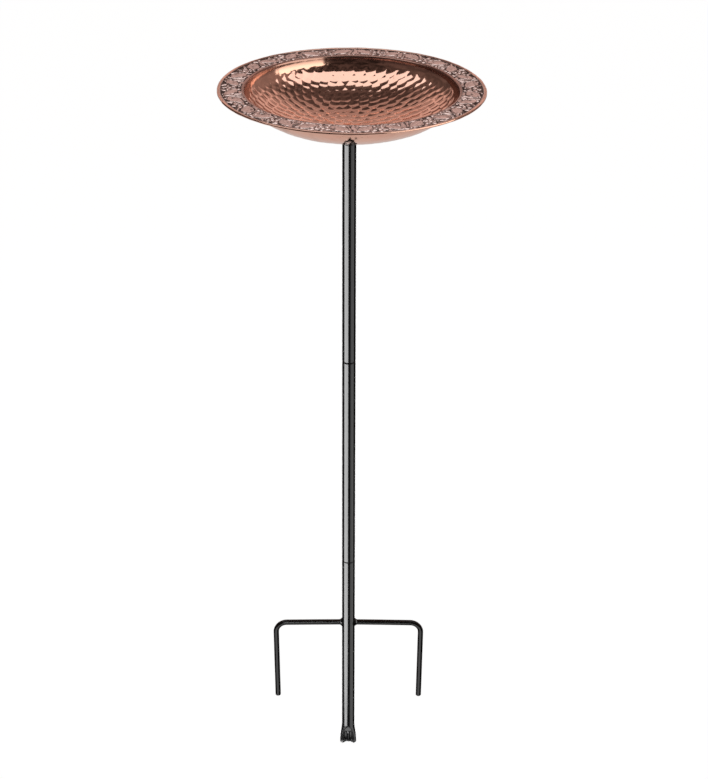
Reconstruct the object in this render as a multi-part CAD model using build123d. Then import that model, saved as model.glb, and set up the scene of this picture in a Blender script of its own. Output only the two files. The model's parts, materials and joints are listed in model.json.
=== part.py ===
from build123d import *
import math
import os

os.makedirs("parts", exist_ok=True)

# Bird bath: a hammered copper bowl screwed on a three-piece push-fit ground pole with a step-in fork.
# Millimetres, +Z up, pole axis on Z, the crimped tip's lowest point at z = 0, front towards -Y.

# ---- driving dimensions -------------------------------------------------------------------------
SECTION = 324.0  # exposed length of each of the three pole sections
TUBE_OD = 19.0
TUBE_WALL = 1.2
SPIGOT_LEN = 40.0  # swaged end that pushes up into the next section
SPIGOT_CLEAR = 0.08  # radial clearance of the push fit

TIP_H = 31.0  # height of the crimped, flared tip
TIP_W = 24.4  # width across its two lobes
TIP_D = 12.6  # depth front to back at the lobes
TIP_POCKET = 4.1  # depth each face is pressed in

ROD_D = 8.0  # step-in fork rod
ARM_Z = 216.8  # fork arm's axis at the pole
LEG_X = 108.0  # fork leg's axis
DROOP = 0.75  # each fork arm hangs this many degrees, and the leg leans in with it
BEND_R = 16.0  # centreline radius of the fork's corner
LEG_END_Z = 86.5

BOWL_D = 356.0
RIM_Z = 1047.4  # top of the flat rim
SHEET = 1.0
BASIN_A = 143.5  # outside semi-axes of the basin
BASIN_B = 57.4
BEAD_D = 3.6  # rolled edge

STUD_D = 8.0
STUD_ENGAGE = 12.0  # thread inside the pole's insert
STUD_CLEAR = 0.05
WASHER_T = 1.5
BOSS_D = 11.6

# ---- derived ------------------------------------------------------------------------------------
R = TUBE_OD / 2
RI = R - TUBE_WALL
SPIGOT_R = RI - SPIGOT_CLEAR
SPIGOT_RI = SPIGOT_R - TUBE_WALL
POLE_TOP = 3 * SECTION
SEAT_Z = POLE_TOP + WASHER_T
BASIN_CZ = RIM_Z - SHEET  # centre of the basin's outside ellipse
BOWL_BOTTOM = BASIN_CZ - BASIN_B


def turned(points):
    """A solid turned about Z from an (r, z) outline of straight lines."""
    kept = []
    for p in points:
        if not kept or math.dist(kept[-1], p) > 1e-6:
            kept.append(p)
    outline = Polyline(*[(r, 0, z) for r, z in kept], close=True)
    return revolve(make_face(outline), Axis.Z, 360)


def tube_body(z0, z1, end_chamfer):
    """Hollow tube with its lower end broken in slightly where it meets the next section."""
    c = end_chamfer
    return turned(
        [(RI, z0), (R - c, z0), (R, z0 + 2 * c), (R, z1), (RI, z1)]
    )


def socketed_tube(z0, z1, end_chamfer):
    """Tube whose top end is swaged down to a spigot with a rounded shoulder."""
    c = end_chamfer
    zs = z1
    ze = z1 + SPIGOT_LEN
    return turned(
        [
            (RI, z0),
            (R - c, z0),
            (R, z0 + 2 * c),
            (R, zs - 0.7),
            (R - 0.12, zs - 0.3),
            (R - 0.45, zs - 0.05),
            (R - 0.9, zs),
            (SPIGOT_R, zs),
            (SPIGOT_R, ze - 2.5),
            (SPIGOT_R - 0.5, ze),
            (SPIGOT_RI, ze),
            (SPIGOT_RI, zs - 1.5),
            (RI, zs - 5.0),
        ]
    )


# ---- lower tube with the crimped tip ------------------------------------------------------------
def slot_wire(z, width, depth):
    """Rounded outline, longer in X: a circle when width equals depth."""
    if abs(width - depth) < 1e-6:
        return Plane.XY.offset(z) * Circle(width / 2)
    return Plane.XY.offset(z) * RectangleRounded(width, depth, depth / 2 - 0.05)


def tip_outer():
    sections = []
    for z, w, d in (
        (TIP_H + 8.0, TUBE_OD, TUBE_OD - 0.0),
        (TIP_H - 4.0, TUBE_OD + 0.7, TUBE_OD - 1.6),
        (TIP_H - 12.0, TUBE_OD + 2.9, TUBE_OD - 4.2),
        (9.5, TIP_W, TIP_D + 0.4),
        (4.0, TIP_W, TIP_D),
        (0.0, TIP_W - 1.6, TIP_D - 1.6),
    ):
        sections.append(Plane.XY.offset(z) * Ellipse(w / 2, d / 2))
    return loft(Sketch() + sections)


upper_part = Plane.XY.offset(TIP_H + 8.0) * Circle(R)
lower = socketed_tube(TIP_H + 8.0, SECTION, 0.0)

tip = tip_outer()
# bore carried down into the flare, narrowing to where the walls meet
bore = loft(
    Sketch()
    + [
        Plane.XY.offset(TIP_H + 8.0) * Ellipse(RI, RI),
        Plane.XY.offset(TIP_H) * Ellipse(RI + 0.1, RI - 1.4),
        Plane.XY.offset(TIP_H - 9.0) * Ellipse(RI - 0.6, 1.6),
    ]
)
tip -= bore

# arch-shaped pocket pressed into the front and the back
ARCH_W = 15.6


def pocket(side):
    """Arch pocket, its floor sloping in towards the bottom. side -1 is the front."""
    y_face = side * (TUBE_OD / 2 + 2.0)
    arch = Plane.XZ * (
        Pos(0, (TIP_H - ARCH_W / 2) / 2 - 1.0)
        * Rectangle(ARCH_W, TIP_H - ARCH_W / 2 + 2.0)
        + Pos(0, TIP_H - ARCH_W / 2) * Circle(ARCH_W / 2)
    )
    block = extrude(arch, amount=20, both=True)
    floor_y = TIP_D / 2 - TIP_POCKET
    # wedge between the sloping floor and far outside
    wedge_outline = Polyline(
        (0, side * floor_y, -3.0),
        (0, side * floor_y, 9.0),
        (0, side * (floor_y + 2.6), 20.0),
        (0, side * (TUBE_OD / 2 - 0.4), TIP_H + 0.6),
        (0, side * 25.0, TIP_H + 0.6),
        (0, side * 25.0, -3.0),
        close=True,
    )
    wedge = extrude(make_face(wedge_outline), amount=40, both=True)
    return block & wedge


for side in (-1, 1):
    tip -= pocket(side)
    # lighter ridge left standing down the middle of each pocket
    ridge = extrude(
        make_face(
            Polyline(
                (-2.6, side * (TIP_D / 2 - TIP_POCKET - 0.3), 0.0),
                (2.6, side * (TIP_D / 2 - TIP_POCKET - 0.3), 0.0),
                (0.9, side * (TIP_D / 2 - TIP_POCKET + 1.5), 0.0),
                (-0.9, side * (TIP_D / 2 - TIP_POCKET + 1.5), 0.0),
                close=True,
            )
        ),
        amount=17.0,
    )
    tip += Pos(0, 0, 3.2) * ridge

# small notch between the two rounded lobes
tip -= extrude(
    make_face(
        Polyline((-2.4, 0, -1.0), (2.4, 0, -1.0), (0.8, 0, 3.4), (-0.8, 0, 3.4), close=True)
    ),
    amount=20,
    both=True,
)
# open channel up each lobe, where the folded wall stays apart
for x in (-7.6, 7.6):
    tip -= Pos(x, 0, 9.0) * Cylinder(2.6, 24.0)

lower_tube = lower + tip

middle_tube = socketed_tube(SECTION, 2 * SECTION, 0.3)
upper_tube = tube_body(2 * SECTION, POLE_TOP, 0.3)

# ---- threaded insert closing the top of the pole ---------------------------------------------------
PLUG_LEN = 20.0
BORE_R = STUD_D / 2 + STUD_CLEAR
pole_end_plug = turned(
    [
        (0, POLE_TOP - PLUG_LEN),
        (RI - 0.6, POLE_TOP - PLUG_LEN),
        (RI, POLE_TOP - PLUG_LEN + 1.0),
        (RI, POLE_TOP),
        (BORE_R + 0.5, POLE_TOP),
        (BORE_R, POLE_TOP - 0.5),
        (BORE_R, POLE_TOP - STUD_ENGAGE - 2.5),
        (0, POLE_TOP - STUD_ENGAGE - 4.6),
    ]
)

# ---- step-in fork ---------------------------------------------------------------------------------
def fork_rod(sign):
    d = math.radians(DROOP)
    arm = Vector(math.cos(d) * sign, 0, -math.sin(d))
    leg = Vector(-math.sin(d) * sign, 0, -math.cos(d))
    start = Vector(0, 0, ARM_Z)
    corner = start + arm * (LEG_X / math.cos(d) + 0.0)
    leg_len = (corner.Z - LEG_END_Z) / math.cos(d)
    end = corner + leg * leg_len
    a = corner - arm * BEND_R
    b = corner + leg * BEND_R
    centre = a + leg * BEND_R
    mid = centre + (corner - centre).normalized() * BEND_R
    path = Line(start, a) + ThreePointArc(a, mid, b) + Line(b, end)
    section = Plane(origin=start, z_dir=arm) * Circle(ROD_D / 2)
    rod = sweep(section, path=path)
    # rounded cut end
    tips = rod.faces().sort_by(Axis.Z)[0]
    rod = fillet(tips.edges(), 1.2)
    rod -= Pos(0, 0, ARM_Z) * Cylinder(R, 60)
    # keep only the piece on this side of the pole
    keep = Pos(sign * 100, 0, 150) * Box(200, 60, 300)
    return rod & keep, arm


def weld(sign, rod, arm):
    """Concave fillet weld round the rod's root, following the pole's curve."""
    r0, flare = ROD_D / 2, 4.0
    start = R - 1.2
    pts = [(r0 - 0.2, start), (r0 + flare - 0.6, start), (r0 + flare - 0.2, R + 0.25)]
    pts += [(r0 + 2.15, R + 1.15), (r0 + 1.05, R + 2.4), (r0 + 0.35, R + 3.9), (r0 - 0.2, R + 4.6)]
    outline = Polyline(*[(r, 0, h) for r, h in pts], close=True)
    solid = revolve(make_face(outline), Axis.Z, 360)
    plane = Plane(origin=(0, 0, ARM_Z), z_dir=arm)
    solid = plane.location * solid
    solid -= Pos(0, 0, ARM_Z) * Cylinder(R, 60)
    solid -= rod
    return solid


right_prong, right_arm = fork_rod(1)
left_prong, left_arm = fork_rod(-1)
right_weld = weld(1, right_prong, right_arm)
left_weld = weld(-1, left_prong, left_arm)

# ---- bowl -----------------------------------------------------------------------------------------
RIM_R = BOWL_D / 2
BEAD_R = BEAD_D / 2
bead_c = (RIM_R - BEAD_R, RIM_Z - 0.9)


def ellipse_pts(a, b, cz, n, r_end=None):
    """Points from the axis out to the ellipse's widest radius."""
    out = []
    for i in range(n + 1):
        t = math.pi / 2 * i / n
        out.append((a * math.sin(t), cz - b * math.cos(t)))
    return out


outside = ellipse_pts(BASIN_A, BASIN_B, BASIN_CZ, 28)
inside = ellipse_pts(BASIN_A - SHEET, BASIN_B, RIM_Z, 28)
# the sheet turns out to the flat rim on a small radius
corner = 2.6
inside = [p for p in inside if p[1] < RIM_Z - corner - 0.3]
outside = [p for p in outside if p[1] < BASIN_CZ - 1.6 - 0.3]
with BuildSketch(Plane.XZ) as bowl_profile:
    with BuildLine():
        Spline(*outside, tangents=[(1, 0), (0, 1)])
        o_end = outside[-1]
        o_turn = (BASIN_A + 1.6, BASIN_CZ)
        Spline(o_end, o_turn, tangents=[(0, 1), (1, 0)])
        Line(o_turn, (bead_c[0], BASIN_CZ))
        Line((bead_c[0], BASIN_CZ), (bead_c[0], RIM_Z))
        i_turn = (BASIN_A - SHEET + corner, RIM_Z)
        Line((bead_c[0], RIM_Z), i_turn)
        i_end = inside[-1]
        Spline(i_turn, i_end, tangents=[(-1, 0), (0, -1)])
        Spline(*inside[::-1], tangents=[(0, -1), (-1, 0)])
        Line(inside[0], outside[0])
    make_face()
bowl = revolve(bowl_profile.sketch, Axis.Z, 360)
bead = revolve(
    Plane.XZ * Pos(bead_c[0], bead_c[1]) * Circle(BEAD_R), Axis.Z, 360
)
bowl += bead

# outside of the basin as a solid, to shape what is fastened below it
with BuildSketch(Plane.XZ) as cut_profile:
    with BuildLine():
        Spline(*outside, tangents=[(1, 0), (0, 1)])
        Line(outside[-1], (0, outside[-1][1]))
        Line((0, outside[-1][1]), outside[0])
    make_face()
basin_solid = revolve(cut_profile.sketch, Axis.Z, 360)

# ---- boss, solder fillet and stud under the bowl --------------------------------------------------
STUD_IN_BOSS = 11.0
BOSS_R = BOSS_D / 2
bowl_boss = turned(
    [
        (STUD_D / 2, SEAT_Z),
        (BOSS_R - 0.4, SEAT_Z),
        (BOSS_R, SEAT_Z + 0.4),
        (BOSS_R, BOWL_BOTTOM + 1.0),
        (0, BOWL_BOTTOM + 1.0),
        (0, SEAT_Z + STUD_IN_BOSS),
        (STUD_D / 2, SEAT_Z + STUD_IN_BOSS),
    ]
)
bowl_boss -= basin_solid

SOLDER = 4.2
boss_solder = turned(
    [
        (BOSS_R, BOWL_BOTTOM - SOLDER),
        (BOSS_R + 0.35, BOWL_BOTTOM - SOLDER + 1.2),
        (BOSS_R + 1.0, BOWL_BOTTOM - SOLDER + 2.4),
        (BOSS_R + 2.2, BOWL_BOTTOM - SOLDER + 3.5),
        (BOSS_R + 3.8, BOWL_BOTTOM - 0.15),
        (BOSS_R + 4.6, BOWL_BOTTOM + 0.05),
        (BOSS_R + 4.6, BOWL_BOTTOM + 1.0),
        (BOSS_R, BOWL_BOTTOM + 1.0),
    ]
)
boss_solder -= basin_solid

threaded_stud = turned(
    [
        (0, POLE_TOP - STUD_ENGAGE),
        (STUD_D / 2 - 0.8, POLE_TOP - STUD_ENGAGE),
        (STUD_D / 2, POLE_TOP - STUD_ENGAGE + 0.8),
        (STUD_D / 2, SEAT_Z + STUD_IN_BOSS),
        (0, SEAT_Z + STUD_IN_BOSS),
    ]
)

stud_washer = turned(
    [
        (STUD_D / 2 + 0.3, POLE_TOP),
        (R - 1.3, POLE_TOP),
        (R - 1.0, POLE_TOP + 0.3),
        (R - 1.0, SEAT_Z - 0.3),
        (R - 1.3, SEAT_Z),
        (STUD_D / 2 + 0.3, SEAT_Z),
    ]
)

NODES = {
    "lower_tube": lower_tube,
    "middle_tube": middle_tube,
    "upper_tube": upper_tube,
    "pole_end_plug": pole_end_plug,
    "left_prong": left_prong,
    "right_prong": right_prong,
    "left_weld": left_weld,
    "right_weld": right_weld,
    "stud_washer": stud_washer,
    "threaded_stud": threaded_stud,
    "bowl_boss": bowl_boss,
    "boss_solder": boss_solder,
    "bowl": bowl,
}

for name, shape in NODES.items():
    solids = shape.solids()
    body = solids[0] if len(solids) == 1 else Compound(children=list(solids))
    body.label = name
    export_step(body, f"parts/{name}.step")
    box = body.bounding_box()
    print(
        name,
        len(solids),
        round(body.volume, 1),
        [round(v, 2) for v in (box.min.X, box.min.Y, box.min.Z)],
        [round(v, 2) for v in (box.max.X, box.max.Y, box.max.Z)],
    )
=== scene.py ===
import json
import math

import bpy
import numpy as np
from mathutils import Matrix, Vector

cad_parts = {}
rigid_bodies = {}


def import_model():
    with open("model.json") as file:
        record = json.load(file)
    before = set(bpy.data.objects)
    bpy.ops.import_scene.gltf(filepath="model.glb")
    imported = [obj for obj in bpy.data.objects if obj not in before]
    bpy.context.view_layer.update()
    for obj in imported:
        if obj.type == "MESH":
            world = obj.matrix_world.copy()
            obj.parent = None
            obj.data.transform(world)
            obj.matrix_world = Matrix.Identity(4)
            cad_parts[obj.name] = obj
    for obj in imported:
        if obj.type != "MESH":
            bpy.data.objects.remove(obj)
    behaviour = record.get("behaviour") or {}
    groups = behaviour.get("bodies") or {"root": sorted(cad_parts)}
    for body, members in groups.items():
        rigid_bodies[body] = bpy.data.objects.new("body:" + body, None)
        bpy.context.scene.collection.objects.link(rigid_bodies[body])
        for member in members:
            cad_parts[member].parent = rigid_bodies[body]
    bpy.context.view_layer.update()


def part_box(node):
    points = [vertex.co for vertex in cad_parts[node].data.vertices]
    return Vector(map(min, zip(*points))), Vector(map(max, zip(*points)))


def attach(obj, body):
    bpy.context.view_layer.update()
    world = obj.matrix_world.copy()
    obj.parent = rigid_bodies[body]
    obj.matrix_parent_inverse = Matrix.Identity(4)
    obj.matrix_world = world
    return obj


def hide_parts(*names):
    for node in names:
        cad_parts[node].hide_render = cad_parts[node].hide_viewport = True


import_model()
scene = bpy.context.scene
MM = 0.001
rng = np.random.default_rng(20)


# ---------------------------------------------------------------------------------------------------
# Dimensions read from the frame
# ---------------------------------------------------------------------------------------------------
def box_mm(node):
    lo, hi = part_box(node)
    return [v / MM for v in lo], [v / MM for v in hi]


bowl_lo, bowl_hi = box_mm("bowl")
RIM_R = (bowl_hi[0] - bowl_lo[0]) / 2
BEAD_R = 1.8
BEAD_C = (RIM_R - BEAD_R, bowl_hi[2] - BEAD_R)
RIM_Z = BEAD_C[1] + 0.9
SHEET = 1.0
BOWL_Z0 = bowl_lo[2]
BASIN_A = 143.5
BASIN_B = RIM_Z - SHEET - BOWL_Z0

low_lo, low_hi = box_mm("lower_tube")
mid_lo, mid_hi = box_mm("middle_tube")
up_lo, up_hi = box_mm("upper_tube")
R = (up_hi[0] - up_lo[0]) / 2
WALL = 1.2
RI = R - WALL
SPIGOT_R = RI - 0.08
SPIGOT_RI = SPIGOT_R - WALL
SPIGOT_LEN = low_hi[2] - mid_lo[2]
SEAM_1 = mid_lo[2]
SEAM_2 = up_lo[2]
POLE_TOP = up_hi[2]
wash_lo, wash_hi = box_mm("stud_washer")
SEAT_Z = wash_hi[2]
stud_lo, stud_hi = box_mm("threaded_stud")
boss_lo, boss_hi = box_mm("bowl_boss")
plug_lo, plug_hi = box_mm("pole_end_plug")
BOSS_R = (boss_hi[0] - boss_lo[0]) / 2
solder_lo, solder_hi = box_mm("boss_solder")
prong_lo, prong_hi = box_mm("right_prong")
weld_lo, weld_hi = box_mm("right_weld")
TIP_W = low_hi[0] - low_lo[0]


# ---------------------------------------------------------------------------------------------------
# Mesh helpers
# ---------------------------------------------------------------------------------------------------
def make_object(name, verts, faces, attributes=None, sharp=None):
    """A smooth-shaded mesh object from millimetre vertices."""
    me = bpy.data.meshes.new(name)
    co = np.asarray(verts, float) * MM
    me.from_pydata([tuple(v) for v in co], [], faces)
    me.validate(clean_customdata=False)
    me.polygons.foreach_set("use_smooth", np.ones(len(me.polygons), bool))
    for key, values in (attributes or {}).items():
        a = me.attributes.new(key, "FLOAT", "POINT")
        a.data.foreach_set("value", np.asarray(values, np.float32))
    if sharp is not None:
        me.set_sharp_from_angle(angle=math.radians(sharp))
    me.update()
    ob = bpy.data.objects.new(name, me)
    scene.collection.objects.link(ob)
    return ob


def rings_mesh(rings, closed_start=None, closed_end=None, loop=False):
    """Faces between successive rings of n or 2n points, each ring a (count, first index) pair."""
    faces = []
    pairs = list(zip(rings[:-1], rings[1:]))
    if loop:
        pairs.append((rings[-1], rings[0]))
    for (na, ia), (nb, ib) in pairs:
        if na == nb:
            for j in range(na):
                k = (j + 1) % na
                faces.append((ia + j, ib + j, ib + k, ia + k))
        elif nb == 2 * na:
            for j in range(na):
                k = (j + 1) % na
                a0, a1 = ia + j, ia + k
                b0, b1, b2 = ib + 2 * j, ib + 2 * j + 1, ib + (2 * j + 2) % nb
                faces.append((a0, b0, b1))
                faces.append((a0, b1, a1))
                faces.append((a1, b1, b2))
        elif na == 2 * nb:
            for j in range(nb):
                k = (j + 1) % nb
                b0, b1 = ib + j, ib + k
                a0, a1, a2 = ia + 2 * j, ia + 2 * j + 1, ia + (2 * j + 2) % na
                faces.append((a0, b0, a1))
                faces.append((b0, b1, a1))
                faces.append((a1, b1, a2))
    if closed_start is not None:
        n, i = rings[0]
        faces += [(closed_start, i + j, i + (j + 1) % n) for j in range(n)]
    if closed_end is not None:
        n, i = rings[-1]
        faces += [(i + j, closed_end, i + (j + 1) % n) for j in range(n)]
    return faces


def outward(ob):
    """Turns all faces of a closed mesh outward."""
    import bmesh

    bm = bmesh.new()
    bm.from_mesh(ob.data)
    bmesh.ops.recalc_face_normals(bm, faces=bm.faces)
    bm.to_mesh(ob.data)
    bm.free()
    ob.data.update()
    return ob


def lathe(name, profile, seg=96, wobble=None, sharp=38.0, steps=None):
    """Closed solid of revolution from a closed (r, z) profile; points at r = 0 become single vertices."""
    verts, rings, start, end = [], [], None, None
    pts = list(profile)
    touches = [p[0] < 1e-6 for p in pts]
    if any(touches):
        # open profile from axis to axis
        first = touches.index(True)
        pts = pts[first:] + pts[:first]
        axis_pts = [i for i, p in enumerate(pts) if p[0] < 1e-6]
        lo = pts[axis_pts[0]]
        hi = pts[axis_pts[-1]] if len(axis_pts) > 1 else None
        body = [p for p in pts if p[0] >= 1e-6]
    else:
        lo = hi = None
        body = pts
    th = np.linspace(0, 2 * math.pi, seg, endpoint=False)
    for r, z in body:
        rings.append((seg, len(verts)))
        for t in th:
            rr = r if wobble is None else r + wobble(r, z, t)
            verts.append((rr * math.cos(t), rr * math.sin(t), z))
    if lo is not None:
        # find which axis point neighbours the first and last body points
        start = len(verts)
        verts.append((0, 0, lo[1]))
        if hi is not None:
            end = len(verts)
            verts.append((0, 0, hi[1]))
            # body follows lo in order, so the first ring joins lo unless hi is next to it
            order = [i for i, p in enumerate(pts) if p[0] < 1e-6]
            if order == [0, 1]:
                start, end = end, start
        faces = rings_mesh(rings, closed_start=start, closed_end=end)
    else:
        faces = rings_mesh(rings, loop=True)
    ob = make_object(name, verts, faces)
    outward(ob)
    ob.data.set_sharp_from_angle(angle=math.radians(sharp))
    return ob


def rounded(points, radius, n=4, closed=True):
    """Rounds the corners of a polyline in (r, z); radius may be a list, one per point."""
    out = []
    m = len(points)
    for i, p in enumerate(points):
        rad = radius[i] if isinstance(radius, (list, tuple)) else radius
        if rad <= 0 or (not closed and i in (0, m - 1)):
            out.append(tuple(p))
            continue
        a, b = np.array(points[i - 1], float), np.array(points[(i + 1) % m], float)
        p = np.array(p, float)
        u, v = a - p, b - p
        lu, lv = np.linalg.norm(u), np.linalg.norm(v)
        if lu < 1e-9 or lv < 1e-9:
            out.append(tuple(p))
            continue
        u, v = u / lu, v / lv
        cosang = float(np.clip(u @ v, -1, 1))
        ang = math.acos(cosang)
        if ang > math.pi - 0.02:
            out.append(tuple(p))
            continue
        cut = min(rad / math.tan(ang / 2), lu * 0.45, lv * 0.45)
        for k in range(n + 1):
            t = k / n
            q = (1 - t) ** 2 * (p + u * cut) + 2 * t * (1 - t) * p + t**2 * (p + v * cut)
            out.append((float(q[0]), float(q[1])))
    return out


def smoothstep(a, b, x):
    t = np.clip((np.asarray(x, float) - a) / (b - a), 0, 1)
    return t * t * (3 - 2 * t)


def low_noise(x, y, scale, seed, octaves=3):
    """Smooth seeded noise made of rotated sine waves, about -1 to 1."""
    r = np.random.default_rng(seed)
    out = np.zeros(np.broadcast(x, y).shape)
    amp, total = 1.0, 0.0
    for o in range(octaves):
        for _ in range(4):
            ang, ph = r.uniform(0, 2 * math.pi, 2)
            k = 2 * math.pi / scale * (2**o) * r.uniform(0.75, 1.3)
            out = out + amp * np.sin(k * (x * math.cos(ang) + y * math.sin(ang)) + ph)
        total += amp * 1.6
        amp *= 0.5
    return out / total


# ---------------------------------------------------------------------------------------------------
# Bowl: hammered basin, embossed rim, rolled edge, all one sheet
# ---------------------------------------------------------------------------------------------------
ROW = 13.0  # pitch between rows of hammer marks
MARK = 13.3  # pitch along a row
MARK_R = 60.0  # radius of each mark's shallow cup, up the wall
MARK_RA = 40.0  # and round the wall

_rows = []
for k in range(14):
    s = k * ROW
    _rows.append(s)


def arc_table(a, b, cz, n=4000):
    t = np.linspace(0, math.pi / 2, n)
    r = a * np.sin(t)
    z = cz - b * np.cos(t)
    s = np.concatenate([[0], np.cumsum(np.hypot(np.diff(r), np.diff(z)))])
    return s, r, z, t


IN_S, IN_R, IN_Z, IN_T = arc_table(BASIN_A - SHEET, BASIN_B, RIM_Z)
S_TOTAL = IN_S[-1]

_mark_rng = np.random.default_rng(5)
_mark_n, _mark_phase, _mark_jit = [], [], []
for k, s in enumerate(_rows):
    rr = float(np.interp(s, IN_S, IN_R))
    n = max(1, int(round(2 * math.pi * rr / MARK))) if k < 8 else 57
    _mark_n.append(n)
    _mark_phase.append(_mark_rng.uniform(0, 2 * math.pi) if k < 8 else (k % 2) * math.pi / n)
    _mark_jit.append(
        np.column_stack(
            [
                _mark_rng.normal(0, 0.75, n),
                _mark_rng.normal(0, 0.65, n),
                _mark_rng.normal(0, 0.035, n),
                _mark_rng.uniform(0.80, 1.25, n),
            ]
        )
    )


def hammer(s, theta):
    """Depth of the hammered surface, in mm, at arc length s and angle theta: overlapping shallow cups."""
    s = np.asarray(s, float)
    theta = np.asarray(theta, float)
    k0 = np.clip(np.round(s / ROW).astype(int), 0, len(_rows) - 1)
    r_here = np.interp(s, IN_S, IN_R)
    acc = np.zeros(s.shape)
    kap = 1 / 0.024
    for dk in (-1, 0, 1):
        k = np.clip(k0 + dk, 0, len(_rows) - 1)
        for kk in np.unique(k):
            m = k == kk
            n = _mark_n[kk]
            jit = _mark_jit[kk]
            rr = np.maximum(np.interp(_rows[kk], IN_S, IN_R), 1e-3)
            x = (theta[m] - _mark_phase[kk]) / (2 * math.pi) * n
            j0 = np.round(x).astype(int)
            for dj in (-1, 0, 1):
                j = np.mod(j0 + dj, n)
                along = (x - (j0 + dj)) * (2 * math.pi / n) * 0.5 * (rr + r_here[m])
                across = s[m] - _rows[kk] - jit[j, 1]
                along = along - jit[j, 0] + 0.22 * across * (0.5 + 0.5 * np.sin(theta[m])) ** 2
                if kk == 0:
                    along = np.zeros_like(along)
                    across = s[m]
                h = (along**2 / MARK_RA + across**2 / MARK_R) / (2 * jit[j, 3]) + jit[j, 2]
                acc[m] += np.exp(-kap * np.minimum(h, 1.6))
                if n == 1:
                    break
    h = -np.log(np.maximum(acc, 1e-30)) / kap
    return h - 0.30


# ---- embossed rim: one unit of leaf, fan and flower, repeated and mirrored round the flange ----------
BAND_IN = 146.0
BAND_OUT = 173.4
BAND_W = BAND_OUT - BAND_IN
UNITS = 14
UNIT_L = 2 * math.pi * 160.0 / UNITS
PX = 0.16  # grid pitch of the relief unit


def bezier(p0, p1, p2, p3, n=26):
    t = np.linspace(0, 1, n)[:, None]
    p0, p1, p2, p3 = map(np.array, (p0, p1, p2, p3))
    return (
        (1 - t) ** 3 * p0 + 3 * (1 - t) ** 2 * t * p1 + 3 * (1 - t) * t**2 * p2 + t**3 * p3
    )


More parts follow.
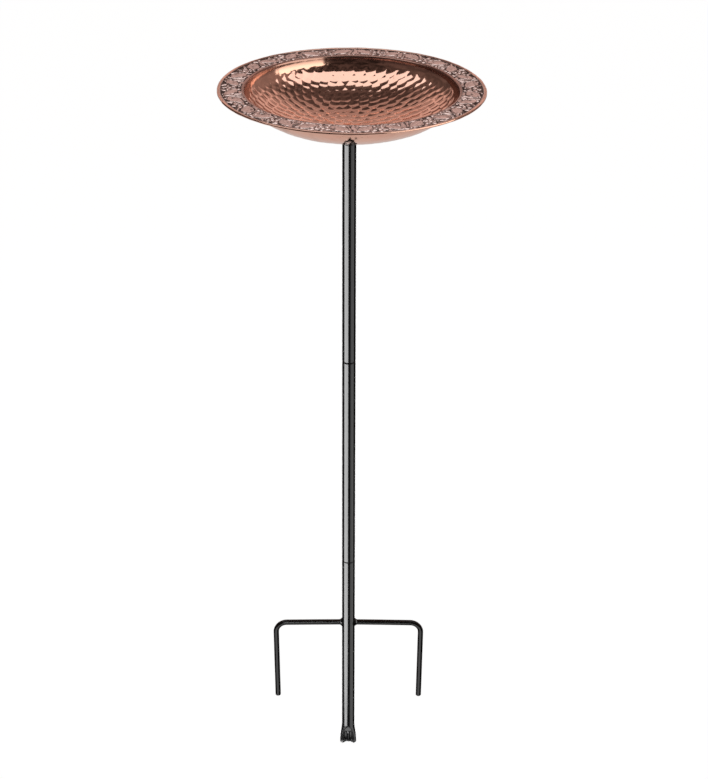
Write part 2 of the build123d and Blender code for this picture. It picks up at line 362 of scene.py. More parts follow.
def relief_unit():
    """Height field, in mm, of one unit, columns along the rim, rows from its inner edge outward."""
    nx = int(round(UNIT_L / PX))
    ny = int(round(BAND_W / PX)) + 1
    X = (np.arange(nx) + 0.5) / nx * UNIT_L - UNIT_L / 2
    Y = np.arange(ny) / (ny - 1) * BAND_W
    gx, gy = np.meshgrid(X, Y)
    H = np.zeros_like(gx)

    def stroke(points, w0, w1, w2, height, power=0.7, moat=False):
        """A tapered ridge along points; widths are half-widths at the start, middle and end."""
        nonlocal H
        pts = np.asarray(points, float)
        n = len(pts)
        best = np.full(gx.shape, 1e9)
        lo, hi = pts.min(0) - 4.5, pts.max(0) + 4.5
        for wrap in (-UNIT_L, 0.0, UNIT_L):
            mx = (gx + wrap >= lo[0]) & (gx + wrap <= hi[0]) & (gy >= lo[1]) & (gy <= hi[1])
            if not mx.any():
                continue
            qx, qy = gx[mx] + wrap, gy[mx]
            d_best = np.full(qx.shape, 1e9)
            for i in range(n - 1):
                a, b = pts[i], pts[i + 1]
                ab = b - a
                L2 = float(ab @ ab) + 1e-12
                t = np.clip(((qx - a[0]) * ab[0] + (qy - a[1]) * ab[1]) / L2, 0, 1)
                u = (i + t) / (n - 1)
                w = np.where(u < 0.5, w0 + (w1 - w0) * u * 2, w1 + (w2 - w1) * (u * 2 - 1))
                d = np.hypot(qx - a[0] - ab[0] * t, qy - a[1] - ab[1] * t) / np.maximum(w, 0.05)
                d_best = np.minimum(d_best, d)
            best[mx] = np.minimum(best[mx], d_best)
        if moat:
            # each stroke presses a furrow into whatever it crosses
            H = np.where((best >= 0.9) & (best < 1.42), np.minimum(H, 0.05 + 0.5 * np.maximum(0, best - 1.15)), H)
        ridge = height * np.maximum(0, 1 - best**2) ** power
        H = np.where(best < 1, np.maximum(ridge, H * (0.0 if moat else 1.0)), H)

    def leaf(cx, cy, length, width, angle, height, vein=0.18):
        """A smooth almond-shaped leaf with a raised outline and a low crown."""
        nonlocal H
        a = math.radians(angle)
        for wrap in (-UNIT_L, 0.0, UNIT_L):
            x = gx + wrap - cx
            y = gy - cy
            u = (x * math.cos(a) + y * math.sin(a)) / (length / 2)
            v = (-x * math.sin(a) + y * math.cos(a)) / (width / 2)
            edge = np.maximum(1 - np.abs(u) ** 1.9, 0.0)
            d = np.abs(v) / np.maximum(edge, 1e-3)
            inside = (np.abs(u) < 1) & (d < 1)
            crown = height * (0.42 + 0.50 * np.sqrt(np.maximum(0, 1 - d**2)))
            lip = height * 1.10 * np.exp(-(((d - 0.86) / 0.12) ** 2))
            body = np.maximum(crown * smoothstep(1.0, 0.88, d), lip)
            body -= vein * np.exp(-((v / 0.075) ** 2)) * smoothstep(0.82, 0.6, np.abs(u))
            body *= smoothstep(1.0, 0.93, np.abs(u))
            H = np.where(inside, np.maximum(H * 0.0, body), H)
            moat = (np.abs(u) < 1.08) & (d >= 1) & (d < 1.30)
            H = np.where(moat, np.minimum(H, 0.04), H)

    W = BAND_W
    half = UNIT_L / 2

    # stem running low under the leaves, rising to the rosettes
    xs = np.linspace(-half - 6, half + 6, 90)
    stroke([(x, 5.0 - 3.2 * math.cos(2 * math.pi * x / UNIT_L)) for x in xs], 1.7, 1.7, 1.7, 0.8, 0.6, moat=True)
    # broad hooked strokes that fill the band between the leaves
    for x0, y0, x1, y1, curl, w in (
        (-30.5, 3.0, -23.0, W - 1.4, 3.4, 3.0),
        (-4.5, 3.6, -3.6, W - 1.4, -3.6, 3.1),
        (2.2, 3.2, 5.2, W - 1.2, -3.8, 3.3),
        (27.2, 2.4, 24.5, W - 1.2, 3.4, 3.1),
        (8.5, 2.4, 12.5, W - 1.6, -3.0, 2.7),
    ):
        stroke(
            bezier((x0, y0), (x0 + 0.9 * curl, y0 + 7.0), (x1 - 1.7 * curl, y1 - 8.0), (x1 + curl, y1), 20),
            w * 0.7, w * 1.08, w * 0.5, 1.0, 0.85, moat=True,
        )
    for x0, y0, x1, y1, w in ((-20.0, 1.8, -9.0, 5.2, 2.4), (11.5, 1.6, 21.0, 5.0, 2.3)):
        stroke(bezier((x0, y0), (x0 + 3.0, y0 - 0.3), (x1 - 1.0, y1 - 3.0), (x1, y1), 14), w, w * 1.1, w * 0.5, 0.85, 0.6, moat=True)
    # two large smooth leaves
    leaf(-14.2, 14.6, 30.0, 17.0, 33.0, 1.0)
    leaf(17.0, 14.0, 27.0, 15.0, 140.0, 1.0)
    # rosette on the unit's edge, so that mirrored neighbours complete it
    for fx in (-half, half):
        fy = 15.2
        for k in range(5):
            a = math.radians(90 + 72 * k)
            stroke(
                [
                    (fx + 2.6 * math.cos(a), fy + 2.6 * math.sin(a)),
                    (fx + 5.6 * math.cos(a), fy + 5.6 * math.sin(a)),
                    (fx + 8.6 * math.cos(a), fy + 8.6 * math.sin(a)),
                ],
                1.9, 3.7, 2.5, 1.0, 0.85, moat=True,
            )
        stroke([(fx - 0.05, fy), (fx + 0.05, fy)], 2.7, 2.7, 2.7, 1.15, 0.6, moat=True)
    # berries in the gaps
    for x0, y0, rr in ((-6.0, W - 2.9, 2.3), (31.0, 3.2, 2.2)):
        stroke([(x0 - 0.05, y0), (x0 + 0.05, y0)], rr, rr, rr, 0.85, moat=True)
    return X, Y, H


def blur(a, n):
    for _ in range(n):
        a = (np.roll(a, 1, 1) + 2 * a + np.roll(a, -1, 1)) / 4
        up = np.vstack([a[:1], a[:-1]])
        dn = np.vstack([a[1:], a[-1:]])
        a = (up + 2 * a + dn) / 4
    return a


REL_X, REL_Y, REL_RAW = relief_unit()
REL_H = blur(REL_RAW, 3)
REL_SOFT = blur(REL_RAW, 26)
REL_WIDE = blur(REL_RAW, 90)
REL_CAV = REL_WIDE - REL_H


def sample_unit(field, r, theta):
    """Bilinear sample of a unit field at rim radius r and angle theta; every other unit is mirrored."""
    u = np.mod(theta / (2 * math.pi) * UNITS, UNITS)
    idx = np.floor(u).astype(int)
    f = u - idx
    f = np.where(idx % 2 == 1, 1 - f, f)
    nx, ny = field.shape[1], field.shape[0]
    x = f * nx - 0.5
    y = np.clip((r - BAND_IN) / BAND_W, 0, 1) * (ny - 1)
    x = np.clip(x, 0, nx - 1.0001)
    x0 = np.floor(x).astype(int)
    y0 = np.minimum(np.floor(y).astype(int), ny - 2)
    fx, fy = x - x0, y - y0
    x1 = np.minimum(x0 + 1, nx - 1)
    return (
        field[y0, x0] * (1 - fx) * (1 - fy)
        + field[y0, x1] * fx * (1 - fy)
        + field[y0 + 1, x0] * (1 - fx) * fy
        + field[y0 + 1, x1] * fx * fy
    )


def rim_height(r, theta):
    """Height of the flange's top above its plane."""
    fade = smoothstep(BAND_IN - 0.4, BAND_IN + 0.7, r) * smoothstep(BAND_OUT + 0.2, BAND_OUT - 0.8, r)
    h = 1.50 * (sample_unit(REL_H, r, theta) - 0.5) * fade
    # fine stipple on the sunken ground
    x, y = r * np.cos(theta), r * np.sin(theta)
    ground = smoothstep(-0.15, -0.38, h)
    h = h + 0.05 * ground * low_noise(x, y, 2.2, 77, 2)
    # plain raised lip round the basin, and a step up to the plain outer border
    h = h + 0.14 * np.exp(-(((r - 145.2) / 0.6) ** 2))
    h = h + 0.22 * smoothstep(BAND_OUT - 0.4, BAND_OUT + 0.4, r)
    # the flange isn't perfectly flat
    h = h + 0.22 * low_noise(x, y, 150.0, 8, 1)
    return h


def build_bowl():
    rings = []  # each: (n, r, z, nr, nz, zone, s)

    def n_for(r):
        n = 1024
        for limit, k in ((2.4, 16), (5, 32), (10, 64), (20, 128), (41, 256), (84, 512)):
            if r < limit:
                return k
        return n

    # inside, from near the centre out
    s_end = float(np.interp(RIM_Z - 3.0, IN_Z, IN_S))
    s_vals = list(np.arange(1.1, s_end - 0.4, 1.12)) + [s_end]
    for s in s_vals:
        r = float(np.interp(s, IN_S, IN_R))
        z = float(np.interp(s, IN_S, IN_Z))
        t = float(np.interp(s, IN_S, IN_T))
        tr, tz = (BASIN_A - SHEET) * math.cos(t), BASIN_B * math.sin(t)
        L = math.hypot(tr, tz)
        rings.append([n_for(r), r, z, -tz / L, tr / L, "in", s])
    # turned corner up to the flange
    r0, z0 = rings[-1][1], rings[-1][2]
    t0 = np.array([-(rings[-1][4]) * -1, -rings[-1][3]])
    d0 = np.array([rings[-1][4], -rings[-1][3]])
    p0, p3 = np.array([r0, z0]), np.array([145.4, RIM_Z])
    p1, p2 = p0 + d0 * 2.3, p3 - np.array([1.9, 0.0])
    for t in np.linspace(0, 1, 8)[1:]:
        p = (1 - t) ** 3 * p0 + 3 * (1 - t) ** 2 * t * p1 + 3 * (1 - t) * t**2 * p2 + t**3 * p3
        d = 3 * (1 - t) ** 2 * (p1 - p0) + 6 * (1 - t) * t * (p2 - p1) + 3 * t**2 * (p3 - p2)
        d /= np.linalg.norm(d)
        n = 1024 if t < 0.5 else 2048
        rings.append([n, p[0], p[1], -d[1], d[0], "corner", s_end + 3 * t])
    # flange
    r_start = 145.4
    r_stop = BEAD_C[0] - BEAD_R * math.cos(math.radians(30))
    for r in np.arange(r_start + 0.6, r_stop - 0.25, 0.6):
        rings.append([2048, float(r), RIM_Z, 0.0, 1.0, "rim", 0.0])
    # rolled edge
    for a in np.linspace(150, -177, 22):
        c, s = math.cos(math.radians(a)), math.sin(math.radians(a))
        rings.append([1024, BEAD_C[0] + BEAD_R * c, BEAD_C[1] + BEAD_R * s, c, s, "bead", 0.0])
    # underside of the flange, inward
    for r in np.arange(BEAD_C[0] - BEAD_R - 1.0, 146.0, -1.1):
        rings.append([1024, float(r), RIM_Z - SHEET, 0.0, -1.0, "under_rim", 0.0])
    # outside corner
    OUT_S, OUT_R, OUT_Z, OUT_T = arc_table(BASIN_A, BASIN_B, RIM_Z - SHEET)
    so = float(np.interp(RIM_Z - SHEET - 1.8, OUT_Z, OUT_S))
    ro, zo = float(np.interp(so, OUT_S, OUT_R)), RIM_Z - SHEET - 1.8
    p0, p3 = np.array([145.6, RIM_Z - SHEET]), np.array([ro, zo])
    p1, p2 = p0 - np.array([1.0, 0]), p3 + np.array([0.05, 1.0])
    for t in np.linspace(0, 1, 5):
        p = (1 - t) ** 3 * p0 + 3 * (1 - t) ** 2 * t * p1 + 3 * (1 - t) * t**2 * p2 + t**3 * p3
        d = 3 * (1 - t) ** 2 * (p1 - p0) + 6 * (1 - t) * t * (p2 - p1) + 3 * t**2 * (p3 - p2)
        d /= np.linalg.norm(d)
        rings.append([1024, p[0], p[1], -d[1], d[0], "out_corner", so])
    # outside of the basin, down to the centre
    for s in np.arange(so - 1.6, 1.2, -2.0):
        r = float(np.interp(s, OUT_S, OUT_R))
        z = float(np.interp(s, OUT_S, OUT_Z))
        t = float(np.interp(s, OUT_S, OUT_T))
        tr, tz = BASIN_A * math.cos(t), BASIN_B * math.sin(t)
        L = math.hypot(tr, tz)
        n = min(512, n_for(r * 0.98))
        rings.append([n, r, z, tz / L, -tr / L, "out", s])
    # step ring counts by at most a factor of two
    for i in range(1, len(rings)):
        rings[i][0] = min(rings[i][0], rings[i - 1][0] * 2)
    for i in range(len(rings) - 2, -1, -1):
        rings[i][0] = min(rings[i][0], rings[i + 1][0] * 2)

    verts, attrs_patina_and_shade, attrs_rim, attrs_wall, idx = [], [], [], [], []
    total = 0
    for n, r, z, nr, nz, zone, s in rings:
        th = np.linspace(0, 2 * math.pi, n, endpoint=False)
        x, y = r * np.cos(th), r * np.sin(th)
        h = np.zeros(n)
        patina_and_shade_mask = np.zeros(n)
        rimness = 0.0
        if zone in ("in", "corner"):
            amp = 1.0 - 0.90 * float(smoothstep(S_TOTAL - 22, S_TOTAL - 11, s))
            if zone == "corner":
                amp *= max(0.0, 1 - (s - s_end) / 1.5)
            h = hammer(np.full(n, s), th) * amp * (1.0 + 0.45 * np.clip(0.3 - np.sin(th), 0, 1) * float(smoothstep(20, 60, s)))
            h = h + 0.16 * low_noise(x, y, 70.0, 3, 2) * float(smoothstep(0, 25, s))
            if zone == "corner":
                f = (s - s_end) / 3.0
                h = h * (1 - f) + rim_height(np.full(n, 145.4), th) * f
                rimness = 0.0 + f * 0.8
            # faint tide marks and stains low in the basin, and painted shade under the lip at the left and right
            # sides
            patina_and_shade_mask = 0.05 * np.maximum(0, low_noise(x, y, 55.0, 12, 3)) ** 2
            patina_and_shade_mask = patina_and_shade_mask + 0.50 * float(smoothstep(S_TOTAL - 9, S_TOTAL - 3, s)) * np.cos(th) ** 2 * (1 - rimness)
        elif zone == "rim":
            h = rim_height(np.full(n, r), th)
            cav = sample_unit(REL_CAV, np.full(n, r), th)
            band = float(smoothstep(BAND_IN - 0.4, BAND_IN + 0.6, r) * smoothstep(BAND_OUT + 0.6, BAND_OUT - 0.4, r))
            hh = sample_unit(REL_H, np.full(n, r), th)
            patina_and_shade_mask = smoothstep(0.10, 0.46, cav) * 0.50 + smoothstep(0.36, 0.06, hh) * 0.60
            # painted light and shade: the flange is lighter at the near and the far side and darker at the left and
            # right sides
            patina_and_shade_mask = patina_and_shade_mask * band * (1.08 - 0.42 * np.sin(th) ** 2) + 0.10 * np.cos(th) ** 2
            # grime gathers beside the lip and the border
            patina_and_shade_mask = patina_and_shade_mask + 0.22 * math.exp(-(((r - BAND_IN - 0.3) / 0.5) ** 2)) + 0.5 * math.exp(
                -(((r - BAND_OUT + 0.3) / 0.5) ** 2)
            )
            patina_and_shade_mask = patina_and_shade_mask + 0.34 * np.maximum(0, low_noise(x, y, 13.0, 31, 3) + 0.1)
            rimness = 1.0
        elif zone == "bead":
            h = 0.10 * low_noise(x, y, 26.0, 9, 2) + 0.22 * low_noise(x, y, 150.0, 8, 1)
            patina_and_shade_mask = 0.04 + 0.12 * low_noise(x, y, 12.0, 14, 3)
            # the edge tucks under: dark where it meets the flange
            a = math.degrees(math.atan2(z - BEAD_C[1], r - BEAD_C[0]))
            if a > 135:
                patina_and_shade_mask = patina_and_shade_mask + 0.6
            rimness = 0.2
        elif zone == "under_rim":
            rr = np.full(n, r)
            fade = smoothstep(BAND_IN, BAND_IN + 2.5, r) * smoothstep(BAND_OUT, BAND_OUT - 2.5, r)
            h = -(sample_unit(REL_SOFT, rr, th) - 0.42) * fade * 0.75
            h = h - 0.22 * low_noise(x, y, 150.0, 8, 1)
            patina_and_shade_mask = 0.25 + 0.25 * low_noise(x, y, 22.0, 41, 3)
            rimness = 0.2
        else:  # outside of the basin
            ss = np.full(n, s)
            h = -0.5 * hammer(ss, th) * float(smoothstep(6, 16, s))
            h = h * (1.0 - 0.5 * float(smoothstep(so - 34, so - 12, s)))
            h = h - 0.12 * low_noise(x, y, 70.0, 3, 2) * float(smoothstep(10, 30, s))
            if zone == "out_corner":
                h = h * 0.3
            patina_and_shade_mask = 0.06 + 0.16 * np.maximum(0, low_noise(x, y, 40.0, 51, 3))
            # heat stain round the soldered boss
            rc = np.hypot(x, y)
            patina_and_shade_mask = patina_and_shade_mask + 0.55 * np.exp(-(((rc - 12.0) / 5.0) ** 2))
            patina_and_shade_mask = patina_and_shade_mask + 0.85 * np.exp(-(((rc - 44.0) / 20.0) ** 2)) * smoothstep(0.15, 0.75, low_noise(x, y, 15.0, 63, 3))
            rimness = 0.0
        verts.append(np.column_stack([x + nr * h * np.cos(th), y + nr * h * np.sin(th), z + nz * h]))
        attrs_patina_and_shade.append(np.clip(patina_and_shade_mask + np.zeros(n), 0, 1))
        attrs_rim.append(np.full(n, rimness))
        attrs_wall.append(np.full(n, float(smoothstep(S_TOTAL - 11, S_TOTAL - 4, s)) if zone in ("in", "corner") else 0.0))
        idx.append((n, total))
        total += n
    top = total
    verts.append(np.array([[0, 0, RIM_Z - BASIN_B - 0.02]]))
    bottom = total + 1
    verts.append(np.array([[0, 0, BOWL_Z0]]))
    for a, first in ((attrs_patina_and_shade, 0.0), (attrs_rim, 0.0), (attrs_wall, 0.0)):
        a.append(np.array([first, 0.0]))
    faces = rings_mesh(idx, closed_start=top, closed_end=bottom)
    # brazed on a little off centre and out of level
    v = np.vstack(verts)
    tilt = math.radians(0.29)
    dx, dz = v[:, 0].copy(), v[:, 2] - BOWL_Z0
    v[:, 0] = 3.0 + dx * math.cos(tilt) + dz * math.sin(tilt)
    v[:, 2] = BOWL_Z0 - dx * math.sin(tilt) + dz * math.cos(tilt)
    ob = make_object(
        "hammered_bowl",
        v,
        faces,
        {
            "patina_and_shade": np.concatenate(attrs_patina_and_shade),
            "rimness": np.concatenate(attrs_rim),
            "wall": np.concatenate(attrs_wall),
        },
    )
    outward(ob)
    return ob


# ---------------------------------------------------------------------------------------------------
# Node helpers
# ---------------------------------------------------------------------------------------------------
def new_material(name):
    m = bpy.data.materials.new(name)
    m.use_nodes = True
    nt = m.node_tree
    nt.nodes.clear()
    out = nt.nodes.new("ShaderNodeOutputMaterial")
    bs = nt.nodes.new("ShaderNodeBsdfPrincipled")
    nt.links.new(bs.outputs[0], out.inputs[0])
    return m, nt, bs


def node(nt, kind, **settings):
    n = nt.nodes.new(kind)
    for k, v in settings.items():
        setattr(n, k, v)
    return n


def noise(nt, coord, scale, detail=3.0, rough=0.55, distort=0.0):
    n = node(nt, "ShaderNodeTexNoise")
    n.inputs["Scale"].default_value = scale
    n.inputs["Detail"].default_value = detail
    n.inputs["Roughness"].default_value = rough
    n.inputs["Distortion"].default_value = distort
    nt.links.new(coord, n.inputs["Vector"])
    return n.outputs["Fac"]


def ramp(nt, value, lo, hi, out_lo=0.0, out_hi=1.0, kind="SMOOTHSTEP"):
    n = node(nt, "ShaderNodeMapRange", interpolation_type=kind)
    n.inputs["From Min"].default_value = lo
    n.inputs["From Max"].default_value = hi
    n.inputs["To Min"].default_value = out_lo
    n.inputs["To Max"].default_value = out_hi
    nt.links.new(value, n.inputs["Value"])
    return n.outputs["Result"]


def math_node(nt, op, a, b=None, clamp=False):
    n = node(nt, "ShaderNodeMath", operation=op, use_clamp=clamp)
    for i, v in enumerate((a, b)):
        if v is None:
            continue
        if isinstance(v, (int, float)):
            n.inputs[i].default_value = v
        else:
            nt.links.new(v, n.inputs[i])
    return n.outputs[0]


def mix_colour(nt, fac, a, b, blend="MIX"):
    n = node(nt, "ShaderNodeMix", data_type="RGBA", blend_type=blend)
    if isinstance(fac, (int, float)):
        n.inputs[0].default_value = fac
    else:
        nt.links.new(fac, n.inputs[0])
    for i, v in ((6, a), (7, b)):
        if isinstance(v, tuple):
            n.inputs[i].default_value = (*v, 1.0)
        else:
            nt.links.new(v, n.inputs[i])
    return n.outputs[2]


def attribute(nt, name):
    n = node(nt, "ShaderNodeAttribute", attribute_name=name)
    return n.outputs["Fac"]


def obj_coord(nt):
    return node(nt, "ShaderNodeTexCoord").outputs["Object"]


# ---------------------------------------------------------------------------------------------------
# Materials
# ---------------------------------------------------------------------------------------------------
def copper_bowl_material():
    m, nt, bs = new_material("hammered_copper")
    co = obj_coord(nt)
    # this attribute holds real patina and stains together with painted shade and painted light
    patina_and_shade = attribute(nt, "patina_and_shade")
    rim = attribute(nt, "rimness")
    # polished copper drifts a little in tone from place to place
    tone = noise(nt, co, 22.0, 3.0)
    fine = noise(nt, co, 380.0, 4.0, 0.6)
    bright = mix_colour(nt, ramp(nt, tone, 0.35, 0.65), (0.925, 0.545, 0.425), (0.95, 0.58, 0.455))
    rim_metal = mix_colour(nt, ramp(nt, fine, 0.3, 0.7), (0.82, 0.62, 0.575), (0.92, 0.715, 0.67))
    metal = mix_colour(nt, ramp(nt, rim, 0.1, 0.9), bright, rim_metal)
    # the steep wall under the rim is duller than the polished floor, and its colour is darker and browner: painted
    # shade under the lip
    wall = attribute(nt, "wall")
    metal = mix_colour(nt, wall, metal, (0.50, 0.29, 0.24))
    # brown-black patina in the recesses, with a slight grey-green bloom; the same mix also lays the painted shade at
    # the left and right sides of the basin and the flange
    bloom = noise(nt, co, 60.0, 4.0)
    dark = mix_colour(nt, ramp(nt, bloom, 0.45, 0.72), (0.060, 0.029, 0.025), (0.090, 0.056, 0.048))
    edge = math_node(nt, "ADD", patina_and_shade, math_node(nt, "MULTIPLY", math_node(nt, "SUBTRACT", fine, 0.5), 0.22))
    patina_and_shade_mask = ramp(nt, edge, 0.12, 0.85)
    nt.links.new(mix_colour(nt, patina_and_shade_mask, metal, dark), bs.inputs["Base Color"])
    nt.links.new(ramp(nt, patina_and_shade_mask, 0.0, 1.0, 1.0, 0.72, "LINEAR"), bs.inputs["Metallic"])
    # roughness: mirror-bright hammer marks, satin rim, dull patina, faint wiping marks
    wipe = noise(nt, co, 95.0, 5.0, 0.65, 0.6)
    r_in = ramp(nt, wipe, 0.35, 0.75, 0.055, 0.13)
    r_rim = ramp(nt, fine, 0.3, 0.7, 0.14, 0.24)
    r_mix = node(nt, "ShaderNodeMix", data_type="FLOAT")
    nt.links.new(ramp(nt, rim, 0.0, 1.0, 0.0, 1.0, "LINEAR"), r_mix.inputs[0])
    r_wall = node(nt, "ShaderNodeMix", data_type="FLOAT")
    nt.links.new(wall, r_wall.inputs[0])
    nt.links.new(r_in, r_wall.inputs[2])
    r_wall.inputs[3].default_value = 0.15
    nt.links.new(r_wall.outputs[0], r_mix.inputs[2])
    nt.links.new(r_rim, r_mix.inputs[3])
    r_all = node(nt, "ShaderNodeMix", data_type="FLOAT")
    nt.links.new(patina_and_shade_mask, r_all.inputs[0])
    nt.links.new(r_mix.outputs[0], r_all.inputs[2])
    r_all.inputs[3].default_value = 0.5
    nt.links.new(r_all.outputs[0], bs.inputs["Roughness"])
    # planishing scratches and pitting, very shallow
    bump = node(nt, "ShaderNodeBump")
    bump.inputs["Strength"].default_value = 0.10
    bump.inputs["Distance"].default_value = 0.00025
    pits = noise(nt, co, 900.0, 4.0, 0.6)
    nt.links.new(pits, bump.inputs["Height"])
    nt.links.new(bump.outputs[0], bs.inputs["Normal"])
    return m


def plain_copper_material(name, base_a, base_b, rough_lo, rough_hi, stain=0.5):
    m, nt, bs = new_material(name)
    co = obj_coord(nt)
    n1 = noise(nt, co, 120.0, 4.0)
    n2 = noise(nt, co, 700.0, 3.0)
    col = mix_colour(nt, ramp(nt, n1, 0.35, 0.7), base_a, base_b)
    col = mix_colour(nt, ramp(nt, n2, 0.55, 0.8, 0.0, stain), col, (0.10, 0.055, 0.045))
    nt.links.new(col, bs.inputs["Base Color"])
    bs.inputs["Metallic"].default_value = 1.0
    nt.links.new(ramp(nt, n1, 0.3, 0.75, rough_lo, rough_hi), bs.inputs["Roughness"])
    bump = node(nt, "ShaderNodeBump")
    bump.inputs["Strength"].default_value = 0.15
    bump.inputs["Distance"].default_value = 0.0002
    nt.links.new(n2, bump.inputs["Height"])
    nt.links.new(bump.outputs[0], bs.inputs["Normal"])
    return m


def powder_coat_material(name, rough_lo, rough_hi, peel_scale, peel, wear=0.0):
    """Gloss black powder coat: slight orange peel, uneven gloss and dust."""
    m, nt, bs = new_material(name)
    co = obj_coord(nt)
    patch = noise(nt, co, 30.0, 4.0)
    dust = noise(nt, co, 210.0, 5.0, 0.7)
    col = mix_colour(nt, ramp(nt, patch, 0.3, 0.7), (0.0016, 0.0016, 0.0018), (0.0028, 0.0028, 0.0030))
    col = mix_colour(nt, ramp(nt, dust, 0.60, 0.82, 0.0, 0.30), col, (0.011, 0.0105, 0.010))
    nt.links.new(col, bs.inputs["Base Color"])
    nt.links.new(ramp(nt, patch, 0.3, 0.72, rough_lo, rough_hi), bs.inputs["Roughness"])
    bs.inputs["IOR"].default_value = 1.5
    bump = node(nt, "ShaderNodeBump")
    bump.inputs["Strength"].default_value = peel
    bump.inputs["Distance"].default_value = 0.0001
    nt.links.new(noise(nt, co, peel_scale, 1.0, 0.3), bump.inputs["Height"])
    nt.links.new(bump.outputs[0], bs.inputs["Normal"])
    return m


def zinc_material():
    m, nt, bs = new_material("zinc_plate")
    co = obj_coord(nt)
    n1 = noise(nt, co, 260.0, 4.0)
    col = mix_colour(nt, ramp(nt, n1, 0.35, 0.7), (0.60, 0.60, 0.57), (0.70, 0.68, 0.60))
    nt.links.new(col, bs.inputs["Base Color"])
    bs.inputs["Metallic"].default_value = 1.0
    nt.links.new(ramp(nt, n1, 0.3, 0.7, 0.22, 0.38), bs.inputs["Roughness"])
    return m


def rubber_material():
    m, nt, bs = new_material("washer_rubber")
    co = obj_coord(nt)
    n1 = noise(nt, co, 500.0, 4.0)
    col = mix_colour(nt, n1, (0.018, 0.018, 0.018), (0.035, 0.034, 0.033))
    nt.links.new(col, bs.inputs["Base Color"])
    nt.links.new(ramp(nt, n1, 0.3, 0.7, 0.55, 0.72), bs.inputs["Roughness"])
    bump = node(nt, "ShaderNodeBump")
    bump.inputs["Strength"].default_value = 0.25
    bump.inputs["Distance"].default_value = 0.0001
    nt.links.new(n1, bump.inputs["Height"])
    nt.links.new(bump.outputs[0], bs.inputs["Normal"])
    return m


MAT_BOWL = copper_bowl_material()
MAT_BOSS = plain_copper_material("turned_copper", (0.80, 0.46, 0.36), (0.90, 0.53, 0.42), 0.14, 0.26)
MAT_SOLDER = plain_copper_material("braze", (0.62, 0.42, 0.33), (0.74, 0.50, 0.38), 0.22, 0.4, 0.7)
MAT_POLE = powder_coat_material("pole_powder_coat", 0.12, 0.17, 420.0, 0.02)
MAT_FORK = powder_coat_material("fork_powder_coat", 0.14, 0.19, 420.0, 0.025)
MAT_WELD = powder_coat_material("weld_powder_coat", 0.14, 0.20, 420.0, 0.04)
MAT_ZINC = zinc_material()
MAT_RUBBER = rubber_material()


def dress(ob, material, body, nodes):
    ob.data.materials.clear()
    ob.data.materials.append(material)
    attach(ob, body)
    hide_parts(*nodes)
    return ob


# ---------------------------------------------------------------------------------------------------
# Pieces
# ---------------------------------------------------------------------------------------------------
bowl = build_bowl()
dress(bowl, MAT_BOWL, "bowl_assembly", ["bowl"])


def basin_out_z(r):
    """Height of the basin's outside at radius r."""
    return RIM_Z - SHEET - BASIN_B * math.sqrt(max(0.0, 1 - (r / BASIN_A) ** 2))


# turned boss under the bowl
top = basin_out_z(BOSS_R) + 0.25
boss_profile = rounded(
    [
        (4.02, SEAT_Z),
        (BOSS_R, SEAT_Z),
        (BOSS_R, SEAT_Z + 3.0),
        (BOSS_R - 0.35, SEAT_Z + 3.3),
        (BOSS_R - 0.35, SEAT_Z + 4.0),
        (BOSS_R, SEAT_Z + 4.3),
        (BOSS_R, top),
        (4.02, top),
    ],
    [0.3, 0.4, 0.15, 0.15, 0.15, 0.15, 0.0, 0.0],
)
boss = lathe("copper_boss", boss_profile, 96)
dress(boss, MAT_BOSS, "bowl_assembly", ["bowl_boss"])


def solder_wobble(r, z, t):
    k = (r - BOSS_R) / 4.6
    return k * (0.28 * math.sin(3 * t + 0.7) + 0.18 * math.sin(7 * t + 2.0) + 0.1 * math.sin(13 * t))


sol = []
for u in np.linspace(0, 1, 14):
    # concave fillet
    a = u * math.pi / 2
    r = BOSS_R + 4.3 * (1 - math.cos(a)) + 0.02
    z = BOWL_Z0 - 4.0 + (4.0 + basin_out_z(r) - BOWL_Z0) * math.sin(a) - 0.08 * (1 - u)
    sol.append((r, z - (0.10 if u < 1 else 0.0)))
sol = sol + [(sol[-1][0], basin_out_z(sol[-1][0]) + 0.3), (BOSS_R - 0.2, basin_out_z(BOSS_R) + 0.3), (BOSS_R - 0.2, BOWL_Z0 - 4.0)]
solder = lathe("braze_fillet", sol, 128, wobble=solder_wobble, sharp=60)
dress(solder, MAT_SOLDER, "bowl_assembly", ["boss_solder"])


def threaded_rod(name, r_major, pitch, z0, z1, depth=0.62, seg=64, chamfer=0.8):
    """Rod with a real right-hand helical thread, closed at both ends."""
    n = int(round((z1 - z0) / (pitch / 12)))
    verts, rings = [], []
    th = np.linspace(0, 2 * math.pi, seg, endpoint=False)
    for i in range(n + 1):
        z = z0 + (z1 - z0) * i / n
        rings.append((seg, len(verts)))
        for t in th:
            ph = ((z - z0) / pitch - t / (2 * math.pi)) % 1.0
            tri = abs(ph - 0.5) * 2  # 0 crest, 1 root
            cut = depth * float(smoothstep(0.12, 0.92, tri))
            r = r_major - cut
            lim = r_major - max(0.0, chamfer - (z - z0)) * 0.9
            r = min(r, lim)
            verts.append((r * math.cos(t), r * math.sin(t), z))
    a = len(verts)
    verts.append((0, 0, z0))
    b = len(verts)
    verts.append((0, 0, z1))
    faces = rings_mesh(rings, closed_start=a, closed_end=b)
    ob = make_object(name, verts, faces)
    outward(ob)
    ob.data.set_sharp_from_angle(angle=math.radians(50))
    return ob


stud = threaded_rod("threaded_stud_m8", 3.98, 1.25, stud_lo[2], stud_hi[2])
dress(stud, MAT_ZINC, "bowl_assembly", ["threaded_stud"])

washer = lathe(
    "rubber_washer",
    rounded(
        [(4.35, wash_lo[2]), (8.5, wash_lo[2]), (8.5, wash_hi[2]), (4.35, wash_hi[2])],
        0.45,
        5,
    ),
    96,
)
dress(washer, MAT_RUBBER, "washer", ["stud_washer"])

